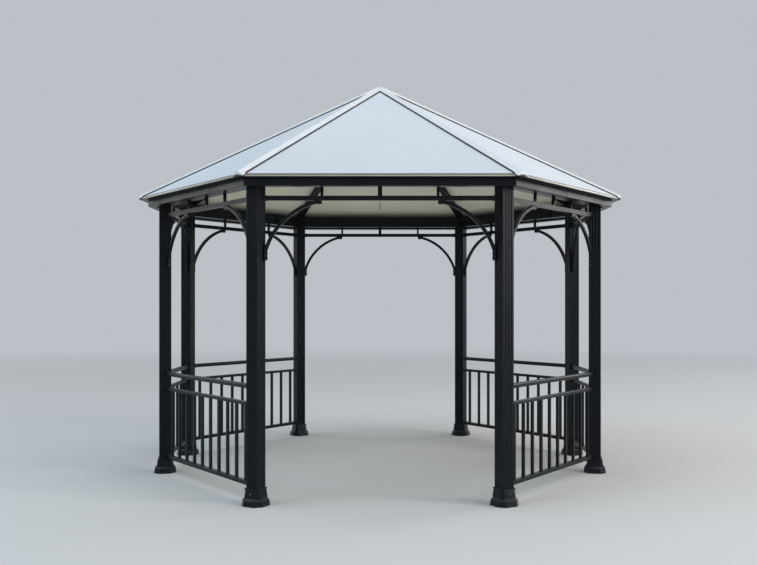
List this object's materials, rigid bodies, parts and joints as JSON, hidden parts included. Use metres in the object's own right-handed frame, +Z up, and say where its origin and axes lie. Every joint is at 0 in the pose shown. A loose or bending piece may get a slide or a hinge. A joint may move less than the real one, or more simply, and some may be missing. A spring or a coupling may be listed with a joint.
{
  "type": "octagonal garden gazebo",
  "caption": "Open octagonal metal gazebo: fluted posts on cast feet, railings beside two open entrances, arched corner brackets and a hipped opal sheet roof.",
  "frame": {"origin": "on the ground, at the centre of the bounding box, straight below the apex of the roof", "axes": "+Z up, +Y from the front entrance to the back entrance, +X to the right seen from the front"},
  "size_m": [3.9792, 3.6692, 3.288],
  "materials": {
    "dark_coating": "satin powder coat",
    "foot_casting": "satin powder coat on a casting",
    "opal_sheet": "smooth translucent opal",
    "pale_metal": "satin off-white coat"
  },
  "bodies": {
    "root": {"post_front_left": "dark_coating", "post_front_right": "dark_coating", "post_right_front": "dark_coating", "post_right_back": "dark_coating", "post_back_right": "dark_coating", "post_back_left": "dark_coating", "post_left_back": "dark_coating", "post_left_front": "dark_coating", "post_feet": "foot_casting", "eave_beam_front": "dark_coating", "eave_beam_front_right": "dark_coating", "eave_beam_right": "dark_coating", "eave_beam_back_right": "dark_coating", "eave_beam_back": "dark_coating", "eave_beam_back_left": "dark_coating", "eave_beam_left": "dark_coating", "eave_beam_front_left": "dark_coating", "frieze_front": "dark_coating", "frieze_front_right": "dark_coating", "frieze_right": "dark_coating", "frieze_back_right": "dark_coating", "frieze_back": "dark_coating", "frieze_back_left": "dark_coating", "frieze_left": "dark_coating", "frieze_front_left": "dark_coating", "railing_front_right": "dark_coating", "railing_right": "dark_coating", "railing_back_right": "dark_coating", "railing_back_left": "dark_coating", "railing_left": "dark_coating", "railing_front_left": "dark_coating", "corner_brackets": "dark_coating", "hip_rafters": "dark_coating", "apex_hub": "dark_coating", "roof_sheet_front": "opal_sheet", "roof_sheet_front_right": "opal_sheet", "roof_sheet_right": "opal_sheet", "roof_sheet_back_right": "opal_sheet", "roof_sheet_back": "opal_sheet", "roof_sheet_back_left": "opal_sheet", "roof_sheet_left": "opal_sheet", "roof_sheet_front_left": "opal_sheet", "eave_edge_profiles": "pale_metal", "hip_caps": "pale_metal", "apex_cap": "pale_metal"}
  },
  "joints": []
}
